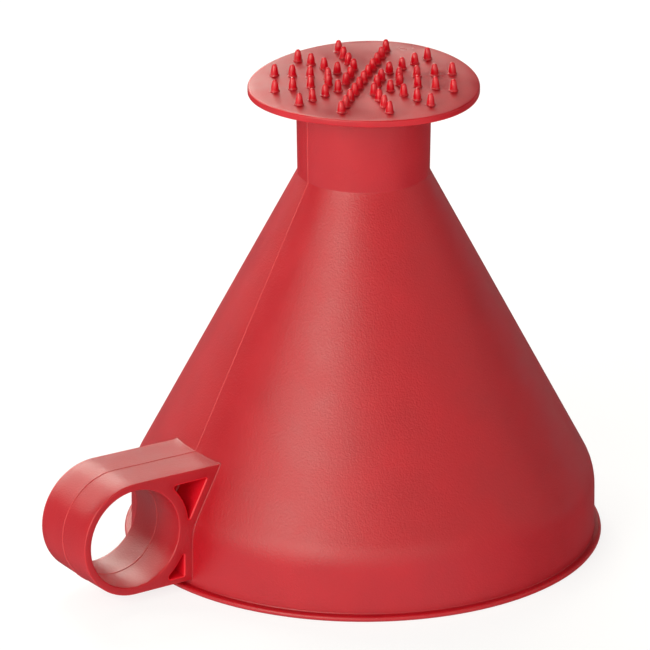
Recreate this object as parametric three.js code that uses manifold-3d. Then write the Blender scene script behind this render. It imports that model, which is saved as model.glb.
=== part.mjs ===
// Cone-shaped windscreen ice scraper that doubles as a funnel.
// Two injection mouldings: the funnel body with its ring handle, and a toothed cap plugged into the neck.
// Millimetres, +Z up, standing on the wide rim. The origin is under the middle of the overall box, and
// the handle points along -X.

import * as THREE from 'three';
import { mergeVertices } from 'three/addons/utils/BufferGeometryUtils.js';
import Module from 'manifold-3d';

const wasm = await Module();
wasm.setup();

// Funnel body: rim, band, cone and neck. Radii and heights are of the outer surface.
const WALL = 1.8;
const RIM_RADIUS = 65;
const RIM_THICKNESS = 1.6;
const BAND_FOOT_RADIUS = 63.4;
const SHOULDER_RADIUS = 63.3;
const SHOULDER_Z = 17.5;
const SHOULDER_FILLET = 16;
const CREASE_Z = 104.1;
const NECK_FOOT_RADIUS = 17.8;
const NECK_TOP_RADIUS = 18.15;
const NECK_TOP_Z = 127.2;

// Ring handle: a flat-sided ring joined to the cone by a top and a bottom flange.
const HANDLE_WIDTH = 21.76;
const RING_X = -79.5;
const RING_Z = 19.1;
const RING_FACE_RADIUS = 15.95;
const HANDLE_DRAFT = 0.35;
const PARTING_LAND = 0.3;
const TOP_FLANGE_DROP = 0.6;
const HOLE_MID_RADIUS = 13.8;
const HOLE_FACE_RADIUS = 14.15;
const HOLE_CHAMFER = 0.45;
const POCKET_RING_RADIUS = 17.1;
const POCKET_CONE_GAP = 2.6;
const POCKET_TOP_Z = 31.5;
const POCKET_BOTTOM_Z = 4.9;
const POCKET_WEB = 2.4;

// Ice-breaker cap: a disc, its teeth and a hollow plug that pushes into the neck.
const SEAT_GAP = 0.05;
const DISC_RADIUS = 31.1;
const DISC_THICKNESS = 1.95;
const DISC_EDGE = 0.45;
const PLUG_CLEARANCE = 0.3;
const PLUG_WALL = 1.5;
const PLUG_LENGTH = 14;
const PLUG_TAPER = 0.25;
const PLUG_LEAD_IN = 1.2;
const TOOTH_HEIGHT = 3.3;
const TOOTH_FOOT_RADIUS = 1.2;
const TOOTH_TIP_RADIUS = 0.55;
const TOOTH_ROOT = 0.4;
const TOOTH_RINGS = 5;
const TOOTH_PITCH = 4.93;
const TOOTH_ROWS = 12;
const TOOTH_PHASE = THREE.MathUtils.degToRad(-17.7);

// Facets.
const BODY_SEGMENTS = 72;
const DISC_SEGMENTS = 60;
const RING_SEGMENTS = 48;
const TOOTH_SEGMENTS = 8;
const FILLET_STEPS = 5;

const RED_PLASTIC = { color: 0xc8373a, roughness: 0.48, metalness: 0 };
const CAP_PLASTIC = { color: 0xc9373b, roughness: 0.36, metalness: 0 };

// The body's axis, placed so that the origin falls under the middle of the overall box.
const HANDLE_REACH = RING_FACE_RADIUS + HANDLE_DRAFT - RING_X;
const AXIS_X = (HANDLE_REACH - RIM_RADIUS) / 2;

const CONE_SLOPE = (SHOULDER_RADIUS - NECK_FOOT_RADIUS) / (CREASE_Z - SHOULDER_Z);
const CONE_INSET = WALL * Math.hypot(1, CONE_SLOPE);

function point(radius, height) {
  return new THREE.Vector2(radius, height);
}

// Points along an arc that rounds the corner at `corner`, in order from `before` to `after`.
function roundedCorner(before, corner, after, radius, steps) {
  const toBefore = before.clone().sub(corner).normalize();
  const toAfter = after.clone().sub(corner).normalize();
  const halfAngle = Math.acos(THREE.MathUtils.clamp(toBefore.dot(toAfter), -1, 1)) / 2;
  const bisector = toBefore.clone().add(toAfter).normalize();
  const centre = corner.clone().addScaledVector(bisector, radius / Math.sin(halfAngle));
  const start = corner.clone().addScaledVector(toBefore, radius / Math.tan(halfAngle)).sub(centre);
  const end = corner.clone().addScaledVector(toAfter, radius / Math.tan(halfAngle)).sub(centre);
  const sweep = Math.atan2(start.cross(end), start.dot(end));
  const arc = [];
  for (let step = 0; step <= steps; step += 1) {
    arc.push(start.clone().rotateAround(new THREE.Vector2(), (sweep * step) / steps).add(centre));
  }
  return arc;
}

// A solid of revolution about +Z.
function lathe(profile, segments) {
  return new THREE.LatheGeometry(profile, segments).rotateX(Math.PI / 2);
}

function toSolid(geometry) {
  const bare = geometry.clone();
  bare.deleteAttribute('normal');
  bare.deleteAttribute('uv');
  const merged = mergeVertices(bare, 1e-4);
  const mesh = new wasm.Mesh({
    numProp: 3,
    vertProperties: new Float32Array(merged.attributes.position.array),
    triVerts: new Uint32Array(merged.index.array),
  });
  return new wasm.Manifold(mesh);
}

function toGeometry(solid) {
  const mesh = solid.getMesh();
  const geometry = new THREE.BufferGeometry();
  geometry.setAttribute('position', new THREE.BufferAttribute(mesh.vertProperties, 3));
  geometry.setIndex(new THREE.BufferAttribute(mesh.triVerts, 1));
  geometry.computeVertexNormals();
  return geometry;
}

function namedMesh(name, solid, look) {
  const mesh = new THREE.Mesh(toGeometry(solid), new THREE.MeshStandardMaterial(look));
  mesh.name = name;
  return mesh;
}

// Outer surface from the top of the rim lip up to the neck's top, moved inwards by `inset` on the upright
// walls and by as much along the cone's normal.
function outerWall(inset, fillet, steps) {
  const coneInset = (inset / WALL) * CONE_INSET;
  const foot = point(BAND_FOOT_RADIUS - inset, RIM_THICKNESS);
  const shoulderRadius = SHOULDER_RADIUS - inset;
  const shoulder = point(shoulderRadius, SHOULDER_Z + (inset - coneInset) / CONE_SLOPE);
  const neckRadius = NECK_FOOT_RADIUS - inset;
  const crease = point(neckRadius, CREASE_Z + (inset - coneInset) / CONE_SLOPE);
  const top = point(NECK_TOP_RADIUS - inset, NECK_TOP_Z);
  return [foot, ...roundedCorner(foot, shoulder, crease, fillet, steps), crease, top];
}

// The thin open shell: rim, band, cone and neck.
function funnelShell() {
  const lipEdge = RIM_THICKNESS / 2;
  const lipRounding = [];
  for (let step = 0; step <= FILLET_STEPS - 1; step += 1) {
    const angle = -Math.PI / 2 + (Math.PI * step) / (FILLET_STEPS - 1);
    const radius = RIM_RADIUS - lipEdge + lipEdge * Math.cos(angle);
    lipRounding.push(point(radius, lipEdge + lipEdge * Math.sin(angle)));
  }
  const inside = outerWall(WALL, SHOULDER_FILLET - WALL, FILLET_STEPS).reverse();
  inside[inside.length - 1].y = 0;
  const outside = outerWall(0, SHOULDER_FILLET, FILLET_STEPS);
  const outline = [...lipRounding, ...outside, ...inside];
  outline.push(outline[0].clone());
  return toSolid(lathe(outline, BODY_SEGMENTS));
}

// A full body of revolution that follows the outer surface at `offset` outside it (inside when negative).
function offsetCore(offset) {
  const below = -RIM_RADIUS;
  const wall = outerWall(-offset, SHOULDER_FILLET, FILLET_STEPS);
  wall[0].y = below;
  const top = wall[wall.length - 1];
  return toSolid(lathe([point(0, below), ...wall, point(0, top.y)], BODY_SEGMENTS));
}

// Extrudes an outline drawn in X and Z, centred on y = 0.
function extrudeAcross(shape, depth, bevel) {
  const geometry = new THREE.ExtrudeGeometry(shape, { depth, ...bevel, curveSegments: RING_SEGMENTS / 2 });
  return geometry.translate(0, 0, -depth / 2).rotateX(Math.PI / 2);
}

// The handle's side outline: half a ring, and two flanges that run into the wall of the funnel.
function handleOutline() {
  const rootX = -NECK_TOP_RADIUS;
  const top = RING_Z + RING_FACE_RADIUS;
  const bottom = RING_Z - RING_FACE_RADIUS;
  const outline = new THREE.Shape();
  outline.moveTo(rootX, bottom);
  outline.lineTo(rootX, top - 2 * TOP_FLANGE_DROP);
  outline.lineTo(RING_X, top);
  outline.absarc(RING_X, RING_Z, RING_FACE_RADIUS, Math.PI / 2, (3 * Math.PI) / 2, false);
  outline.closePath();
  return outline;
}

// Both sides taper from the parting plane, as the mould needs.
function handleBlock() {
  const bevel = {
    bevelEnabled: true,
    bevelThickness: (HANDLE_WIDTH - PARTING_LAND) / 2,
    bevelSize: HANDLE_DRAFT,
    bevelSegments: 1,
  };
  return toSolid(extrudeAcross(handleOutline(), PARTING_LAND, bevel));
}

// The finger hole, narrowest at the parting plane, with chamfered mouths.
function fingerHole() {
  const face = HANDLE_WIDTH / 2;
  const flare = HOLE_FACE_RADIUS + 2 * HOLE_CHAMFER;
  const profile = [
    point(0, -face - HOLE_CHAMFER),
    point(flare, -face - HOLE_CHAMFER),
    point(HOLE_FACE_RADIUS, -face + HOLE_CHAMFER),
    point(HOLE_MID_RADIUS, 0),
    point(HOLE_FACE_RADIUS, face - HOLE_CHAMFER),
    point(flare, face + HOLE_CHAMFER),
    point(0, face + HOLE_CHAMFER),
  ];
  const hole = new THREE.LatheGeometry(profile, RING_SEGMENTS);
  return toSolid(hole.translate(RING_X, 0, RING_Z));
}

// Blind recesses that lighten both sides of the handle, between the ring, the flanges and the funnel.
function handlePockets(side) {
  const width = Math.abs(RING_X) - NECK_TOP_RADIUS;
  const height = POCKET_TOP_Z - POCKET_BOTTOM_Z;
  const depth = HANDLE_WIDTH / 2;
  const block = new THREE.BoxGeometry(width, depth, height);
  block.translate(RING_X + width / 2, side * (POCKET_WEB + depth) / 2, POCKET_BOTTOM_Z + height / 2);
  const radius = POCKET_RING_RADIUS;
  const ring = new THREE.CylinderGeometry(radius, radius, HANDLE_WIDTH * 2, RING_SEGMENTS);
  ring.translate(RING_X, 0, RING_Z);
  return toSolid(block).subtract(toSolid(ring)).subtract(offsetCore(POCKET_CONE_GAP));
}

function funnelBody() {
  const handle = handleBlock()
    .subtract(offsetCore(-WALL / 2))
    .subtract(fingerHole())
    .subtract(handlePockets(1))
    .subtract(handlePockets(-1));
  return funnelShell().add(handle);
}

// Disc with a rounded edge, and the hollow plug under it.
function capDisc() {
  const underside = NECK_TOP_Z + SEAT_GAP;
  const top = underside + DISC_THICKNESS;
  const plugRadius = NECK_TOP_RADIUS - WALL - PLUG_CLEARANCE;
  const tipRadius = plugRadius - PLUG_TAPER;
  const plugEnd = underside - PLUG_LENGTH;
  const middle = underside + DISC_THICKNESS / 2;
  const low = roundedCorner(point(plugRadius, underside), point(DISC_RADIUS, underside),
    point(DISC_RADIUS, middle), DISC_EDGE, 2);
  const high = roundedCorner(point(DISC_RADIUS, middle), point(DISC_RADIUS, top),
    point(0, top), DISC_EDGE, 2);
  const profile = [
    point(0, underside),
    point(plugRadius - PLUG_WALL, underside),
    point(tipRadius - PLUG_WALL, plugEnd),
    point(tipRadius - PLUG_WALL / 2, plugEnd),
    point(tipRadius, plugEnd + PLUG_LEAD_IN),
    point(plugRadius, underside),
    ...low,
    ...high,
    point(0, top),
  ];
  return toSolid(lathe(profile, DISC_SEGMENTS));
}

// One tooth: a tapered peg with a flared foot and a blunt tip, sunk a little into the disc.
function tooth(radius, angle) {
  const profile = [
    point(0, -TOOTH_ROOT),
    point(TOOTH_FOOT_RADIUS, -TOOTH_ROOT),
    point(TOOTH_FOOT_RADIUS, 0.1 * TOOTH_HEIGHT),
    point(TOOTH_TIP_RADIUS, 0.9 * TOOTH_HEIGHT),
    point(0, TOOTH_HEIGHT),
  ];
  const base = NECK_TOP_Z + SEAT_GAP + DISC_THICKNESS;
  const peg = lathe(profile, TOOTH_SEGMENTS);
  peg.translate(radius * Math.cos(angle), radius * Math.sin(angle), base);
  return toSolid(peg);
}

// One tooth in the middle, then rings of teeth that line up in straight radial rows.
// The innermost ring has room for only every other row.
function iceBreakerCap() {
  let cap = capDisc().add(tooth(0, 0));
  for (let ring = 1; ring <= TOOTH_RINGS; ring += 1) {
    const count = ring === 1 ? TOOTH_ROWS / 2 : TOOTH_ROWS;
    for (let row = 0; row < count; row += 1) {
      cap = cap.add(tooth(ring * TOOTH_PITCH, TOOTH_PHASE + (2 * Math.PI * row) / count));
    }
  }
  return cap;
}

const assembly = new THREE.Group();
assembly.position.x = AXIS_X;
assembly.add(namedMesh('funnel_body', funnelBody(), RED_PLASTIC));
assembly.add(namedMesh('ice_breaker_cap', iceBreakerCap(), CAP_PLASTIC));

const part = new THREE.Group();
part.add(assembly);

export default part;
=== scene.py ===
"""Looks for the cone-shaped ice scraper funnel: two red mouldings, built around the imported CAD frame.

Everything is in metres, in the CAD's own frame: +Z up, the cone's axis upright, the ring handle towards -X.
"""
import math

import bmesh
import bpy
import numpy as np
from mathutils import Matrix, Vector


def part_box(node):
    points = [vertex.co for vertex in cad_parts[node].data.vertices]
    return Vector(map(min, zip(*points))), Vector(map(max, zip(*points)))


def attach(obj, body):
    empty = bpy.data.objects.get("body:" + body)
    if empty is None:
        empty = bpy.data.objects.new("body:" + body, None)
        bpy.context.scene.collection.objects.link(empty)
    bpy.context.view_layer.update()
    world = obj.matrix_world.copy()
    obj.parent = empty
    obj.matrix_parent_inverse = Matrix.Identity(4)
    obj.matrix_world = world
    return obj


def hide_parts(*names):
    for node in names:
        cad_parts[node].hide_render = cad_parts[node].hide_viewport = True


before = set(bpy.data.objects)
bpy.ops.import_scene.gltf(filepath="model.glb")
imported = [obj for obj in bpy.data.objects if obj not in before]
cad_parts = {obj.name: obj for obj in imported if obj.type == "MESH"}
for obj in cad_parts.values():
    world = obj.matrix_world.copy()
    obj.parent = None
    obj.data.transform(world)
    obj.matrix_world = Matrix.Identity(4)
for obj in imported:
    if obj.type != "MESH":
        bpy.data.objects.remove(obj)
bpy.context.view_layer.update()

MM = 0.001

body_low, body_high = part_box("funnel_body")
cap_low, cap_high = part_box("ice_breaker_cap")

# Funnel body, from the frame where it gives the size.
RIM_RADIUS = (body_high.y - body_low.y) / 2
AXIS_X = body_high.x - RIM_RADIUS
NECK_TOP = body_high.z
WALL = 1.8 * MM
RIM_THICKNESS = 1.6 * MM
LIP_ROUND = 0.3 * MM
BAND_FOOT_RADIUS = 63.15 * MM
SHOULDER_RADIUS = 63.05 * MM
SHOULDER_Z = 17.5 * MM
SHOULDER_FILLET = 16 * MM
CREASE_Z = 104.1 * MM
CREASE_FILLET = 0.8 * MM
NECK_FOOT_RADIUS = 17.8 * MM
NECK_TOP_RADIUS = 18.15 * MM
CONE_SLOPE = (SHOULDER_RADIUS - NECK_FOOT_RADIUS) / (CREASE_Z - SHOULDER_Z)

# Ring handle.
HANDLE_HALF = 10.88 * MM
RING_OUTER = 16.1 * MM
RING_X = body_low.x + 15.8 * MM
RING_Z = 19.1 * MM
HOLE_RADIUS = 13.65 * MM
HANDLE_DRAFT = 0.15 * MM
HANDLE_STEP = 2 * MM
TOP_DROP = 0.5 * MM
ROOT_DEPTH = 1.45 * MM
EDGE_ROUND = 0.25 * MM
HOLE_ROUND = 0.4 * MM
POCKET_RING_RADIUS = 16.9 * MM
POCKET_WALL_GAP = 1.6 * MM
POCKET_TOP = 31.5 * MM
POCKET_BOTTOM = 4.9 * MM
POCKET_FLOOR = 1.2 * MM
POCKET_EDGE = 0.4 * MM
POCKET_RING_CORNER = 0.6 * MM
POCKET_CORNER = 0.3 * MM
JUNCTION_FILLET = 0.16 * MM

# Mesh of the shell: how far apart its rows are, and the rows and columns that pass clear of the handle's
# lower and upper faces and of its sides.
ROW_STEP = 2.2 * MM
INSIDE_ROW_STEP = 2.6 * MM
COLUMNS_PER_SIDE = 62
CLEAR_HEIGHTS = [2.2 * MM, 4.3 * MM, 33.2 * MM, 36.2 * MM]
CLEAR_WIDTHS = [1.5 * MM, 3.2 * MM, 4.9 * MM, 6.6 * MM, 8.2 * MM,
                HANDLE_HALF - 1.2 * MM, HANDLE_HALF + 1.2 * MM]

# Marks on faces while the body is put together.
SHELL, GRIP, RECESS = 0, 1, 2

# Mould parting line: a fine raised seam in the plane y = 0.
SEAM_HALF = 0.16 * MM
SEAM_HEIGHT = 0.14 * MM

# Ice-breaker cap.
DISC_RADIUS = (cap_high.y - cap_low.y) / 2
DISC_THICKNESS = 1.95 * MM
DISC_EDGE = 0.45 * MM
SEAT_GAP = 0.05 * MM
DISC_BOTTOM = NECK_TOP + SEAT_GAP
DISC_TOP = DISC_BOTTOM + DISC_THICKNESS
WARP_START = 19 * MM
WARP_POWER = 1.5
SADDLE = 0.82 * MM
SADDLE_HEADING = math.radians(-51)
LEAN = 0.28 * MM
LEAN_HEADING = math.radians(15.5)
DROOP = 0.14 * MM
PLUG_GAP = 0.3 * MM
PLUG_RADIUS = NECK_TOP_RADIUS - WALL - PLUG_GAP
PLUG_WALL = 1.5 * MM
PLUG_TAPER = 0.25 * MM
PLUG_END = cap_low.z
TOOTH_HEIGHT = cap_high.z - DISC_TOP
TOOTH_SINK = 0.4 * MM
TOOTH_FOOT_RADIUS = 1.2 * MM
TOOTH_TIP_RADIUS = 0.62 * MM
TOOTH_PITCH = 4.93 * MM
TOOTH_RINGS = 5
TOOTH_ROWS = 12
TOOTH_PHASE = math.radians(-17.7)

# Finish of the plastic, with a painted highlight on the edges and painted shade in the corners.
CLOUD_SCALE = 90
CLOUD_RANGE = (0.3, 0.7)
GREEN_SHARE = 0.004
BLUE_SHARE = 0.021
GRAIN_SCALE = 2000
GRAIN_DEPTH = 0.05 * MM
# Paler edges: partly rubbed wear, partly a painted highlight where light catches them. Darker inside corners:
# painted shade from ambient occlusion.
EDGE_RADIUS = 0.3 * MM
EDGE_TURN = (0.99, 0.85)
EDGE_WEAR_AND_HIGHLIGHT = 0.6
WEAR_AND_HIGHLIGHT_RED = (0.62, 0.10, 0.10, 1)
CORNER_REACH = 1.0 * MM
CORNER_OPENNESS = (0.45, 0.8)
CORNER_SHADE = 0.85


# ---------------------------------------------------------------- outlines

MITRE_LIMIT = 0.3


def arc(centre, radius, start, end, steps):
    """Points on a circle from angle start to angle end, both included."""
    angles = np.linspace(start, end, steps + 1)
    return [(centre[0] + radius * math.cos(a), centre[1] + radius * math.sin(a)) for a in angles]


def rounded_corner(before, corner, after, radius, steps):
    """Points of the arc that rounds a corner, in order from before to after."""
    before, corner, after = (np.array(p, float) for p in (before, corner, after))
    to_before = (before - corner) / np.linalg.norm(before - corner)
    to_after = (after - corner) / np.linalg.norm(after - corner)
    half = math.acos(float(np.clip(to_before @ to_after, -1, 1))) / 2
    bisector = (to_before + to_after) / np.linalg.norm(to_before + to_after)
    centre = corner + bisector * radius / math.sin(half)
    start = corner + to_before * radius / math.tan(half) - centre
    end = corner + to_after * radius / math.tan(half) - centre
    sweep = math.atan2(start[0] * end[1] - start[1] * end[0], start @ end)
    points = []
    for step in range(steps + 1):
        turn = sweep * step / steps
        c, s = math.cos(turn), math.sin(turn)
        points.append((centre[0] + start[0] * c - start[1] * s, centre[1] + start[0] * s + start[1] * c))
    return points


def subdivided(points, longest):
    """The same open line, with its long straight stretches cut into even steps."""
    line = [points[0]]
    for a, b in zip(points, points[1:]):
        steps = max(1, math.ceil(math.dist(a, b) / longest - 1e-9))
        for step in range(1, steps + 1):
            t = step / steps
            line.append((a[0] + (b[0] - a[0]) * t, a[1] + (b[1] - a[1]) * t))
    return line


def offset_outline(points, distances):
    """A closed outline moved along its own normals, to the right of its direction, by one distance for
    each point. Sharp corners are mitred only up to a limit."""
    line = np.array(points, float)
    distances = np.broadcast_to(np.asarray(distances, float), len(line))
    forward = np.roll(line, -1, 0) - line
    forward /= np.linalg.norm(forward, axis=1)[:, None]
    normal = np.stack([forward[:, 1], -forward[:, 0]], 1)
    joint = normal + np.roll(normal, 1, 0)
    joint /= np.maximum((joint * joint).sum(1) / 2, MITRE_LIMIT)[:, None]
    return line + joint * distances[:, None]


# ---------------------------------------------------------------- meshes

def new_object(name, vertices, faces):
    mesh = bpy.data.meshes.new(name)
    mesh.from_pydata([tuple(v) for v in vertices], [], faces)
    mesh.update()
    obj = bpy.data.objects.new(name, mesh)
    bpy.context.scene.collection.objects.link(obj)
    return obj


def closed_grid(name, grid):
    """A mesh from a grid of points whose rows and columns both close on themselves."""
    rows, columns = grid.shape[:2]
    faces = []
    for i in range(rows):
        for j in range(columns):
            a, b = i * columns, ((i + 1) % rows) * columns
            k = (j + 1) % columns
            faces.append((a + j, a + k, b + k, b + j))
    return new_object(name, grid.reshape(-1, 3), faces)


def lathe(section, columns, x, y, z):
    """Vertices and faces of a closed solid of revolution about the upright axis at x and y. Its section is
    a list of (radius, height above z) that starts and ends on the axis, with the solid on its left."""
    angles = np.linspace(0, 2 * math.pi, columns, endpoint=False)
    vertices = [(x, y, z + section[0][1])]
    for radius, height in section[1:-1]:
        vertices += [(x + radius * math.cos(a), y + radius * math.sin(a), z + height) for a in angles]
    vertices.append((x, y, z + section[-1][1]))
    last = len(vertices) - 1
    steps = [(j, (j + 1) % columns) for j in range(columns)]
    faces = [(0, 1 + k, 1 + j) for j, k in steps]
    for low in range(1, last - columns, columns):
        high = low + columns
        faces += [(low + j, low + k, high + k, high + j) for j, k in steps]
    top = last - columns
    faces += [(top + j, top + k, last) for j, k in steps]
    return vertices, faces


def edit(obj, action):
    """Runs action on the object's mesh as a bmesh, with all faces turned outwards after it."""
    work = bmesh.new()
    work.from_mesh(obj.data)
    action(work)
    bmesh.ops.recalc_face_normals(work, faces=work.faces)
    work.to_mesh(obj.data)
    work.free()
    obj.data.update()


def union(target, tool):
    """Joins tool to target, exactly, and removes tool. The faces keep their marks."""
    modifier = target.modifiers.new("union", "BOOLEAN")
    modifier.object = tool
    modifier.operation = "UNION"
    modifier.solver = "EXACT"
    modifier.material_mode = "INDEX"
    graph = bpy.context.evaluated_depsgraph_get()
    result = bpy.data.meshes.new_from_object(target.evaluated_get(graph))
    target.modifiers.clear()
    target.data = result
    bpy.data.objects.remove(tool)


def smooth_shading(obj, degrees):
    obj.data.polygons.foreach_set("use_smooth", [True] * len(obj.data.polygons))
    obj.data.set_sharp_from_angle(angle=math.radians(degrees))


def mark(obj, indices):
    """Marks which feature each face belongs to, so that it can still be told after the union."""
    while len(obj.data.materials) < 3:
        obj.data.materials.append(None)
    obj.data.polygons.foreach_set("material_index", indices)


# ---------------------------------------------------------------- funnel body

def wall_line(inset, shoulder_fillet, crease_fillet):
    """Upright section of the wall from the rim to the neck's top, moved inwards by inset."""
    cone_inset = inset * math.hypot(1, CONE_SLOPE)
    shift = (inset - cone_inset) / CONE_SLOPE
    foot = (BAND_FOOT_RADIUS - inset, RIM_THICKNESS)
    shoulder = (SHOULDER_RADIUS - inset, SHOULDER_Z + shift)
    crease = (NECK_FOOT_RADIUS - inset, CREASE_Z + shift)
    top = (NECK_TOP_RADIUS - inset, NECK_TOP)
    return [foot,
            *rounded_corner(foot, shoulder, crease, shoulder_fillet, 10),
            *rounded_corner(shoulder, crease, top, crease_fillet, 4),
            top]


def cone_radius(z):
    """Outer radius of the body at height z, on the band or the cone."""
    line = wall_line(0, SHOULDER_FILLET, CREASE_FILLET)
    return float(np.interp(z, [p[1] for p in line], [p[0] for p in line]))


def with_heights(line, heights):
    """The line with extra points where it crosses the given heights."""
    extra = [(float(np.interp(z, [p[1] for p in line], [p[0] for p in line])), z) for z in heights]
    return sorted([*line, *extra], key=lambda p: p[1])


def shell_section():
    """The whole section of the thin shell, closed, as (radius, height, raised share of the seam)."""
    lip = RIM_THICKNESS / 2
    rim = arc((RIM_RADIUS - lip, lip), lip, -math.pi / 2, math.pi / 2, 8)
    outer = with_heights(wall_line(0, SHOULDER_FILLET, CREASE_FILLET), CLEAR_HEIGHTS)
    foot = rounded_corner(rim[-1], outer[0], outer[1], LIP_ROUND, 3)
    lip_top = rounded_corner(outer[-2], outer[-1], (0, NECK_TOP), LIP_ROUND, 3)
    inner = wall_line(WALL, SHOULDER_FILLET - WALL, CREASE_FILLET + WALL)
    inner[0] = (inner[0][0], 0)
    bore = rounded_corner((RIM_RADIUS, NECK_TOP), inner[-1], inner[-2], LIP_ROUND, 3)
    mouth = rounded_corner(inner[1], inner[0], (RIM_RADIUS, 0), LIP_ROUND, 3)
    outside = subdivided([*foot, *outer[1:-1], *lip_top], ROW_STEP)
    inside = subdivided([*bore, *inner[-2:0:-1], *mouth], INSIDE_ROW_STEP)
    section = [(r, z, 0) for r, z in rim]
    section += [(r, z, 1) for r, z in outside]
    section += [(r, z, 0) for r, z in inside]
    return section


def column_angles(radius):
    """Angles of the shell's columns from -X, at one radius, and which columns are raised for the seam.
    Near the parting plane and the handle the columns keep a constant y, so that the seam has one width and
    no column crosses the handle's sides."""
    near = np.array([0, SEAM_HALF / 2, SEAM_HALF, *CLEAR_WIDTHS])
    far = np.array([SEAM_HALF, SEAM_HALF / 2, 0])
    near_angles = np.arcsin(near / radius)
    far_angles = math.pi - np.arcsin(far / radius)
    middle_angles = np.linspace(near_angles[-1], far_angles[0], COLUMNS_PER_SIDE)[1:-1]
    half = np.concatenate([near_angles, middle_angles, far_angles])
    raised = np.concatenate([near <= SEAM_HALF / 2, np.zeros(len(middle_angles), bool), far <= SEAM_HALF / 2])
    return np.concatenate([half, -half[-2:0:-1]]), np.concatenate([raised, raised[-2:0:-1]])


def shell():
    rows = []
    for radius, height, seam in shell_section():
        angles, raised = column_angles(radius)
        r = radius + SEAM_HEIGHT * seam * raised
        rows.append(np.stack([AXIS_X - r * np.cos(angles), r * np.sin(angles), np.full(len(r), height)], 1))
    return closed_grid("funnel_body_visual", np.array(rows))


def handle_outline():
    """Side outline of the handle, anticlockwise in X and Z, and which points are buried in the wall. Its
    top comes down by TOP_DROP on the way from the ring to the cone."""
    bottom = RING_Z - RING_OUTER
    top = RING_Z + RING_OUTER
    ring = arc((RING_X, RING_Z), RING_OUTER, math.pi / 2, 3 * math.pi / 2, 48)
    heights = np.linspace(bottom, top - TOP_DROP, 26)
    root = [(AXIS_X - cone_radius(z) + ROOT_DEPTH, z) for z in heights]
    low = subdivided([ring[-1], root[0]], HANDLE_STEP)[1:-1]
    high = subdivided([root[-1], ring[0]], HANDLE_STEP)[1:-1]
    points = [*ring, *low, *root, *high]
    buried = [False] * (len(ring) + len(low)) + [True] * len(root) + [False] * len(high)
    return points, np.array(buried)


def sweep_section(outline, section, weights=1.0):
    """Strips of points: the outline once for each (offset, y) of the section."""
    strips = []
    for offset, y in section:
        flat = offset_outline(outline, np.broadcast_to(weights, len(outline)) * offset)
        strips.append([(x, y, z) for x, z in flat])
    return strips


def across(face_to_middle):
    """A section for both halves of the handle, from one that runs from the +Y face to the parting plane."""
    return face_to_middle + [(offset, -y) for offset, y in reversed(face_to_middle[:-1])]


def edge_rounding(radius, steps):
    """Rounds the corner between a side face and a wall: offsets and distances down from the face."""
    turns = [math.pi / 2 * step / steps for step in range(steps + 1)]
    return [(radius * (math.sin(t) - 1), radius * (1 - math.cos(t))) for t in turns]


def drafted(section_edge):
    """Section from the +Y face down to the seam on the parting plane. Offsets are out of the material."""
    section = [(offset - HANDLE_DRAFT, HANDLE_HALF - depth) for offset, depth in section_edge]
    for share in (0.66, 0.33):
        section.append((-HANDLE_DRAFT * share, HANDLE_HALF * share))
    return section + [(0, SEAM_HALF), (SEAM_HEIGHT, SEAM_HALF / 2), (SEAM_HEIGHT, 0)]


def pocket_outline(upper):
    """One recess beside the ring, clockwise in X and Z: two straight sides and the ring's arc."""
    level = POCKET_TOP if upper else POCKET_BOTTOM

    def on_ring(turn):
        return (RING_X + POCKET_RING_RADIUS * math.cos(turn), RING_Z + POCKET_RING_RADIUS * math.sin(turn))

    def wall_x(z):
        return AXIS_X - cone_radius(z) - POCKET_WALL_GAP

    def turn_of(point):
        return math.atan2(point[1] - RING_Z, point[0] - RING_X)

    corner_turn = math.asin((level - RING_Z) / POCKET_RING_RADIUS)
    turns = np.linspace(corner_turn, 0, 400)
    tip_turn = next(turn for turn in turns if on_ring(turn)[0] >= wall_x(on_ring(turn)[1]))
    nudge = 0.05 if upper else -0.05  # a short turn from either corner along the arc
    corner_ring, tip = on_ring(corner_turn), on_ring(tip_turn)
    corner_wall = (wall_x(level), level)
    round_ring = rounded_corner(corner_wall, corner_ring, on_ring(corner_turn - nudge), POCKET_RING_CORNER, 5)
    round_tip = rounded_corner(on_ring(tip_turn + nudge), tip, corner_wall, POCKET_CORNER, 4)
    round_wall = rounded_corner(tip, corner_wall, corner_ring, POCKET_CORNER, 4)
    ring = arc((RING_X, RING_Z), POCKET_RING_RADIUS, turn_of(round_ring[-1]), turn_of(round_tip[0]), 10)
    points = [*round_ring, *ring[1:-1], *round_tip, *round_wall]
    return points[::-1] if upper else points


def pocket_section(side):
    """Section of a recess on one side of the handle, from the rounded mouth down to the floor."""
    section = [(offset, HANDLE_HALF - depth) for offset, depth in edge_rounding(POCKET_EDGE, 4)]
    section.append((0.12 * MM, POCKET_FLOOR + 0.5 * MM))
    section.append((0.22 * MM, POCKET_FLOOR + 0.18 * MM))
    section.append((0.5 * MM, POCKET_FLOOR))
    return [(offset, side * y) for offset, y in section]


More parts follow.
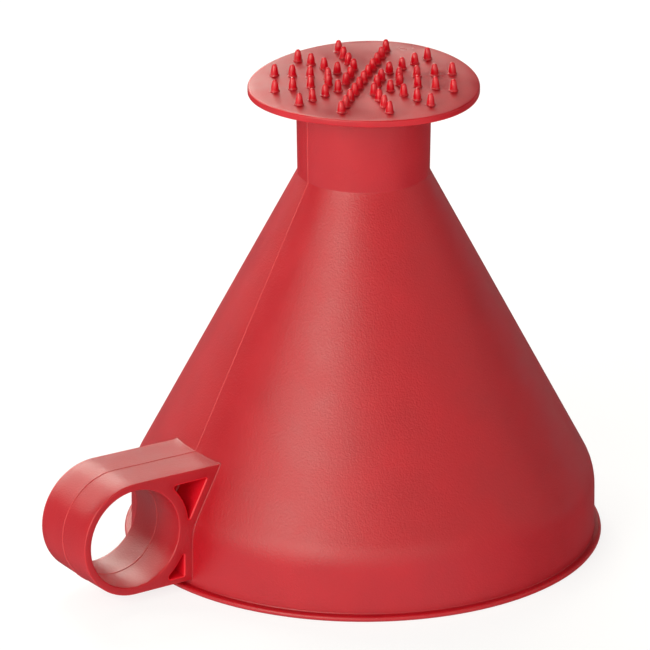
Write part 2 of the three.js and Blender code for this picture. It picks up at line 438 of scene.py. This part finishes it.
def handle():
    """The handle as one closed solid, with its faces marked as grip or recess."""
    vertices = []
    faces = []
    side_loops = {1: [], -1: []}
    floor_loops = []
    marks = []

    def add_strips(strips, outward, feature=GRIP):
        """Quads between neighbouring strips, and the index of each strip's first vertex."""
        starts = []
        for strip in strips:
            starts.append(len(vertices))
            vertices.extend(strip)
        count = len(strips[0])
        for a, b in zip(starts, starts[1:]):
            for j in range(count):
                k = (j + 1) % count
                quad = (a + j, a + k, b + k, b + j)
                faces.append(quad if outward else quad[::-1])
                marks.append(feature)
        return [list(range(s, s + count)) for s in starts]

    outline, buried = handle_outline()
    outer = across(drafted(edge_rounding(EDGE_ROUND, 3)))
    loops = add_strips(sweep_section(outline, outer, np.where(buried, 0.0, 1.0)), True)
    side_loops[1].append(loops[0])
    side_loops[-1].append(loops[-1])

    circle = arc((RING_X, RING_Z), HOLE_RADIUS, 0, -2 * math.pi, 72)[:-1]
    bore = across(drafted(edge_rounding(HOLE_ROUND, 5)))
    loops = add_strips(sweep_section(circle, bore), True)
    side_loops[1].append(loops[0])
    side_loops[-1].append(loops[-1])

    for upper in (True, False):
        pocket = pocket_outline(upper)
        for side in (1, -1):
            loops = add_strips(sweep_section(pocket, pocket_section(side)), side > 0, RECESS)
            side_loops[side].append(loops[0])
            floor_loops.append(loops[-1])

    obj = new_object("handle_work", vertices, faces)
    mark(obj, marks)

    def fill(work):
        work.verts.ensure_lookup_table()

        def edges_of(loop):
            return [work.edges.get((work.verts[a], work.verts[b])) for a, b in zip(loop, loop[1:] + loop[:1])]

        groups = [(loops, GRIP) for loops in side_loops.values()] + [([loop], RECESS) for loop in floor_loops]
        for loops, feature in groups:
            edges = [e for loop in loops for e in edges_of(loop)]
            filled = bmesh.ops.triangle_fill(work, use_beauty=True, edges=edges)
            for face in filled["geom"]:
                if isinstance(face, bmesh.types.BMFace):
                    face.material_index = feature

    edit(obj, fill)
    return obj


def fillet_junction(work):
    """Rounds the inside corner where the handle meets the funnel, then turns the marks into the body's two
    materials: 1 for the recesses, whose brighter red is painted light, 0 for the rest."""
    seam = [e for e in work.edges
            if {face.material_index for face in e.link_faces} == {SHELL, GRIP}]
    bmesh.ops.bevel(work, geom=seam, offset=JUNCTION_FILLET, offset_type="OFFSET", segments=4,
                    profile=0.5, affect="EDGES", clamp_overlap=False)
    for face in work.faces:
        face.material_index = 1 if face.material_index == RECESS else 0


def funnel_body():
    """The shell and the handle joined into one closed mesh."""
    body = shell()
    grip = handle()
    mark(body, [SHELL] * len(body.data.polygons))
    union(body, grip)
    edit(body, fillet_junction)
    body.data.materials.pop(index=2)
    smooth_shading(body, degrees=32)
    return body


# ---------------------------------------------------------------- ice-breaker cap

def disc_warp(x, y):
    """How far up the moulded disc has curled at a point: a saddle, a lean and a droop, all outside the
    neck."""
    radius = math.hypot(x - AXIS_X, y)
    share = min(max((radius - WARP_START) / (DISC_RADIUS - WARP_START), 0), 1)
    turn = math.atan2(y, x - AXIS_X)
    saddle = SADDLE * math.cos(2 * (turn - SADDLE_HEADING))
    lean = LEAN * math.cos(turn - LEAN_HEADING)
    return (lean - saddle - DROOP) * share ** WARP_POWER


def cap_section():
    """Section of the disc and its hollow plug, from the axis under the disc round to the axis on top."""
    tip = PLUG_RADIUS - PLUG_TAPER
    inner = PLUG_RADIUS - PLUG_WALL
    low_edge = rounded_corner((0, DISC_BOTTOM), (DISC_RADIUS, DISC_BOTTOM), (DISC_RADIUS, DISC_TOP),
                              DISC_EDGE, 6)
    high_edge = rounded_corner((DISC_RADIUS, DISC_BOTTOM), (DISC_RADIUS, DISC_TOP), (0, DISC_TOP),
                               DISC_EDGE, 6)
    ceiling = rounded_corner((0, DISC_BOTTOM), (inner, DISC_BOTTOM), (inner, PLUG_END), 0.6 * MM, 4)
    inner_lip = rounded_corner((inner, DISC_BOTTOM), (inner - 0.1 * MM, PLUG_END), (RIM_RADIUS, PLUG_END),
                               LIP_ROUND, 3)
    lead_in = [(tip - 0.7 * MM, PLUG_END),
               (tip - 0.35 * MM, PLUG_END + 0.25 * MM),
               (tip, PLUG_END + 1.3 * MM)]
    root = rounded_corner((tip, PLUG_END), (PLUG_RADIUS, DISC_BOTTOM), (DISC_RADIUS, DISC_BOTTOM),
                          0.2 * MM, 3)
    line = [(0, DISC_BOTTOM), *ceiling, *inner_lip, *lead_in, *root, *low_edge, *high_edge, (0, DISC_TOP)]
    return subdivided(line, ROW_STEP)


def tooth_section():
    """Upright section of one tooth: a small foot ring, a bullet-shaped taper and a blunt domed tip."""
    foot = arc((TOOTH_FOOT_RADIUS, 0.15 * MM), 0.16 * MM, math.radians(-40), math.radians(120), 5)
    side = [(1.09 * MM, 0.4 * MM), (1.06 * MM, 0.8 * MM), (0.97 * MM, 1.5 * MM), (0.82 * MM, 2.3 * MM)]
    tip_centre = (0.07 * MM, TOOTH_HEIGHT - TOOTH_TIP_RADIUS)
    tip = arc(tip_centre, TOOTH_TIP_RADIUS, math.radians(14), math.pi / 2, 6)
    sunk = [(0, -TOOTH_SINK), (TOOTH_FOOT_RADIUS + 0.1 * MM, -TOOTH_SINK)]
    return [*sunk, *foot, *side, *tip, (0, TOOTH_HEIGHT)]


def teeth_places():
    """Centre of every tooth: one in the middle, then rings that line up in straight radial rows."""
    places = [(AXIS_X, 0)]
    for ring in range(1, TOOTH_RINGS + 1):
        count = TOOTH_ROWS // 2 if ring == 1 else TOOTH_ROWS
        for row in range(count):
            angle = TOOTH_PHASE + 2 * math.pi * row / count
            radius = ring * TOOTH_PITCH
            places.append((AXIS_X + radius * math.cos(angle), radius * math.sin(angle)))
    return places


def teeth():
    """All the teeth as one set of separate closed shells."""
    vertices = []
    faces = []
    for x, y in teeth_places():
        base = len(vertices)
        tooth_vertices, tooth_faces = lathe(tooth_section(), 20, x, y, DISC_TOP)
        vertices += tooth_vertices
        faces += [tuple(base + corner for corner in face) for face in tooth_faces]
    return new_object("teeth_work", vertices, faces)


def ice_breaker_cap():
    """The disc with its plug, and the teeth standing in it as closed shells of the same moulding."""
    cap = new_object("ice_breaker_cap_visual", *lathe(cap_section(), 144, AXIS_X, 0, 0))
    spikes = teeth()
    for obj, index in ((cap, 0), (spikes, 1)):
        mark(obj, [index] * len(obj.data.polygons))

    def add_teeth_and_curl(work):
        work.from_mesh(spikes.data)
        for vertex in work.verts:
            vertex.co.z += disc_warp(vertex.co.x, vertex.co.y)

    edit(cap, add_teeth_and_curl)
    bpy.data.objects.remove(spikes)
    cap.data.materials.pop(index=2)
    smooth_shading(cap, degrees=35)
    return cap


# ---------------------------------------------------------------- materials

def plug(tree, target, inputs):
    """Sets each input of a node to a plain value, or links it to another node's output."""
    for name, value in inputs.items():
        if isinstance(value, bpy.types.NodeSocket):
            tree.links.new(value, target.inputs[name])
        else:
            target.inputs[name].default_value = value


def add_node(tree, kind, inputs, operation=None):
    node = tree.nodes.new("ShaderNode" + kind)
    if operation:
        node.operation = operation
    plug(tree, node, inputs)
    return node


def ramp(tree, source, start, end, low=0, high=1):
    """A value that goes from low to high while the source goes from start to end."""
    limits = {"Value": source, "From Min": start, "From Max": end, "To Min": low, "To Max": high}
    return add_node(tree, "MapRange", limits).outputs["Result"]


def mix(tree, factor, low, high, colours=False):
    """From low at factor 0 to high at factor 1. The node's sockets for numbers and for colours have the
    same names, so they are told apart by their places."""
    node = add_node(tree, "Mix", {0: factor})
    node.data_type = "RGBA" if colours else "FLOAT"
    first = 6 if colours else 2
    plug(tree, node, {first: low, first + 1: high})
    return node.outputs[2 if colours else 0]


def noise(tree, scale, detail):
    """Cloudy noise in the piece's own coordinates."""
    place = add_node(tree, "TexCoord", {}).outputs["Object"]
    return add_node(tree, "TexNoise", {"Vector": place, "Scale": scale, "Detail": detail}).outputs["Fac"]


def tinted(tree, red, mottle, cloud):
    """The plastic's red, a share mottle darker to lighter over the cloud."""
    tint = add_node(tree, "ValToRGB", {"Fac": cloud})
    for stop, position, share in zip(tint.color_ramp.elements, CLOUD_RANGE, (1 - mottle, 1 + mottle)):
        stop.position = position
        stop.color = (red * share, red * share * GREEN_SHARE, red * share * BLUE_SHARE, 1)
    return tint.outputs["Color"]


def wear_highlight_and_shade(tree, colour):
    """The colour with paler outer edges, partly rubbed wear and partly a painted highlight where light
    catches them, and painted shade that darkens the inside corners.
    """
    rounded = add_node(tree, "Bevel", {"Radius": EDGE_RADIUS})
    rounded.samples = 4
    flat = add_node(tree, "NewGeometry", {}).outputs["Normal"]
    turn = add_node(tree, "VectorMath", {0: rounded.outputs["Normal"], 1: flat}, "DOT_PRODUCT")
    # Paler edges: partly rubbed wear, partly a painted highlight along the edges.
    edge = ramp(tree, turn.outputs["Value"], *EDGE_TURN, 0, EDGE_WEAR_AND_HIGHLIGHT)
    corner = add_node(tree, "AmbientOcclusion", {"Distance": CORNER_REACH})
    corner.samples = 4
    openness = ramp(tree, corner.outputs["AO"], *CORNER_OPENNESS)
    wear_and_highlight_mask = add_node(tree, "Math", {0: edge, 1: openness}, "MULTIPLY")
    mixed = mix(tree, wear_and_highlight_mask.outputs["Value"], colour, WEAR_AND_HIGHLIGHT_RED, colours=True)
    # Painted shade: the colour darkens with ambient occlusion in inside corners, creases and at the feet of
    # raised parts.
    shade = ramp(tree, openness, 0, 1, CORNER_SHADE, 1)
    shaded = add_node(tree, "VectorMath", {0: mixed, "Scale": shade}, "SCALE")
    return shaded.outputs["Vector"]


def red_plastic(name, red, roughness, grain, mottle):
    """Moulded red polypropylene: slightly see-through, cloudy in colour and gloss by the share mottle, with a
    fine sand-blast grain, paler outer edges that are partly rubbed wear and partly a painted highlight, and
    painted shade in the inside corners."""
    material = bpy.data.materials.new(name)
    material.use_nodes = True
    tree = material.node_tree
    cloud = noise(tree, CLOUD_SCALE, 4)
    bumps = {"Height": noise(tree, GRAIN_SCALE, 2), "Strength": grain, "Distance": GRAIN_DEPTH}
    smoothest, roughest = roughness * (1 - 2 * mottle), roughness * (1 + 2 * mottle)
    plug(tree, tree.nodes["Principled BSDF"], {
        "Base Color": wear_highlight_and_shade(tree, tinted(tree, red, mottle, cloud)),
        "Normal": add_node(tree, "Bump", bumps).outputs["Normal"],
        "Roughness": ramp(tree, cloud, *CLOUD_RANGE, smoothest, roughest),
        "IOR": 1.49,
        "Subsurface Weight": 0.4,
        "Subsurface Radius": (1.0, 0.15, 0.15),
        "Subsurface Scale": 3 * MM})
    return material


# ---------------------------------------------------------------- stage

CAMERA_AZIMUTH = math.radians(-33.47)
CAMERA_ELEVATION = math.radians(21.6)
CAMERA_DISTANCE = 2189.3 * MM
CAMERA_LENS = 448.5
AIM_RIGHT = -10.35 * MM
AIM_HEIGHT = 59.37 * MM

WHITE = (1, 1, 1, 1)
FLOOR_GREY = (0.25, 0.25, 0.25, 1)
FLOOR_HALF = 300.0
FLOOR_GLOW = 0.79
FLOOR_FADE = (0.8, 2.4)

# The room: how bright it is, the heights of direction over which its white horizon ends above and below,
# and the white table, with the cosines from its middle over which its glow comes up.
SKY = 0.12
HORIZON_OVER = (0.02, 0.03)
HORIZON_UNDER = (-0.03, -0.08)
TABLE_AZIMUTH = math.radians(-57)
TABLE_ELEVATION = math.radians(-30)
TABLE_GLOW = 1.05
TABLE_REACH = (-0.05, 0.55)

SOFTBOX_DISTANCE = 2.5
SOFTBOX_HEIGHT = 60 * MM
SOFTBOX_COLOUR = (1.0, 0.98, 0.87)
# name, azimuth, elevation, width and height in degrees, radiance
SOFTBOXES = [("key", -66, 20, 23, 38, 7.2),
             ("key_left", -90, 22, 24, 40, 3.0),
             ("key_right", -42, 17, 24, 32, 2.8),
             ("front", -14, 15, 32, 28, 1.6),
             ("front_right", 12, 20, 28, 36, 0.8),
             ("right", 50, 30, 40, 40, 0.8),
             ("back_low", 182, 25, 56, 16, 6.6),
             ("back", 159, 46, 28, 20, 8.4)]


def heading(azimuth, elevation):
    return Vector((math.sin(azimuth) * math.cos(elevation), -math.cos(azimuth) * math.cos(elevation),
                   math.sin(elevation)))


def add_camera():
    data = bpy.data.cameras.new("camera")
    camera = bpy.data.objects.new("camera", data)
    bpy.context.scene.collection.objects.link(camera)
    right = Vector((math.cos(CAMERA_AZIMUTH), math.sin(CAMERA_AZIMUTH), 0))
    aim = Vector((AXIS_X, 0, AIM_HEIGHT)) + right * AIM_RIGHT
    back = heading(CAMERA_AZIMUTH, CAMERA_ELEVATION)
    camera.location = aim + back * CAMERA_DISTANCE
    camera.rotation_mode = "QUATERNION"
    camera.rotation_quaternion = (-back).to_track_quat("-Z", "Y")
    data.lens = CAMERA_LENS
    data.sensor_width = 36
    data.clip_start = 0.1
    data.clip_end = 400
    bpy.context.scene.camera = camera


def add_softbox(name, azimuth, elevation, width, height, radiance):
    """A rectangular light that faces the object, from angles in degrees seen from the object."""
    data = bpy.data.lights.new(name, "AREA")
    data.shape = "RECTANGLE"
    data.size = 2 * SOFTBOX_DISTANCE * math.tan(math.radians(width) / 2)
    data.size_y = 2 * SOFTBOX_DISTANCE * math.tan(math.radians(height) / 2)
    data.energy = math.pi * radiance * data.size * data.size_y
    data.color = SOFTBOX_COLOUR
    light = bpy.data.objects.new(name, data)
    bpy.context.scene.collection.objects.link(light)
    centre = Vector((AXIS_X, 0, SOFTBOX_HEIGHT))
    towards = heading(math.radians(azimuth), math.radians(elevation))
    light.location = centre + towards * SOFTBOX_DISTANCE
    light.rotation_mode = "QUATERNION"
    light.rotation_quaternion = (-towards).to_track_quat("-Z", "Y")


def add_floor():
    """A wide white floor, lit a little from within so that the shadows on it stay faint. Beyond the
    softboxes it glows up to plain white. Mirror rays pass through it to the world's table."""
    corners = [(-FLOOR_HALF, -FLOOR_HALF, 0), (FLOOR_HALF, -FLOOR_HALF, 0),
               (FLOOR_HALF, FLOOR_HALF, 0), (-FLOOR_HALF, FLOOR_HALF, 0)]
    floor = new_object("floor", corners, [(0, 1, 2, 3)])
    material = bpy.data.materials.new("floor_white")
    material.use_nodes = True
    tree = material.node_tree
    place = add_node(tree, "TexCoord", {}).outputs["Object"]
    reach = add_node(tree, "VectorMath", {0: place}, "LENGTH").outputs["Value"]
    plug(tree, tree.nodes["Principled BSDF"], {
        "Base Color": FLOOR_GREY,
        "Roughness": 0.9,
        "Specular IOR Level": 0,
        "Emission Color": WHITE,
        "Emission Strength": ramp(tree, reach, *FLOOR_FADE, FLOOR_GLOW, 1)})
    floor.data.materials.append(material)
    floor.visible_glossy = False


def add_world():
    """A dim, even room that turns white at the horizon. Below the horizon, where only mirror rays reach,
    there is a white table on the side of TABLE_AZIMUTH and nothing on the other."""
    world = bpy.data.worlds.new("studio")
    bpy.context.scene.world = world
    world.use_nodes = True
    tree = world.node_tree
    direction = add_node(tree, "TexCoord", {}).outputs["Generated"]
    height = add_node(tree, "SeparateXYZ", {"Vector": direction}).outputs["Z"]
    table = {0: direction, 1: heading(TABLE_AZIMUTH, TABLE_ELEVATION)}
    nearness = add_node(tree, "VectorMath", table, "DOT_PRODUCT").outputs["Value"]
    above = ramp(tree, height, *HORIZON_OVER, 1, SKY)
    below = ramp(tree, nearness, *TABLE_REACH, SKY, TABLE_GLOW)
    glow = mix(tree, ramp(tree, height, *HORIZON_UNDER), above, below)
    plug(tree, tree.nodes["Background"], {"Color": WHITE, "Strength": glow})


def build_pieces():
    body = funnel_body()
    body.data.materials[0] = red_plastic("body_red", 0.37, 0.42, 1.4, 0.05)
    # The recesses get a brighter copy of the body's red: painted light, standing in for light through the
    # thin walls.
    body.data.materials[1] = red_plastic("body_red_recess_painted_light", 0.6, 0.42, 1.0, 0.05)
    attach(body, "funnel")
    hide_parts("funnel_body")
    cap = ice_breaker_cap()
    cap.data.materials[0] = red_plastic("cap_red", 0.4, 0.36, 0.15, 0.13)
    # The teeth get a brighter copy of the cap's red: painted light on the teeth.
    cap.data.materials[1] = red_plastic("teeth_red_painted_light", 0.5, 0.1, 0.1, 0.05)
    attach(cap, "cap")
    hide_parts("ice_breaker_cap")


build_pieces()
add_floor()
add_world()
for softbox in SOFTBOXES:
    add_softbox(*softbox)
add_camera()
bpy.context.scene.view_settings.view_transform = "Standard"
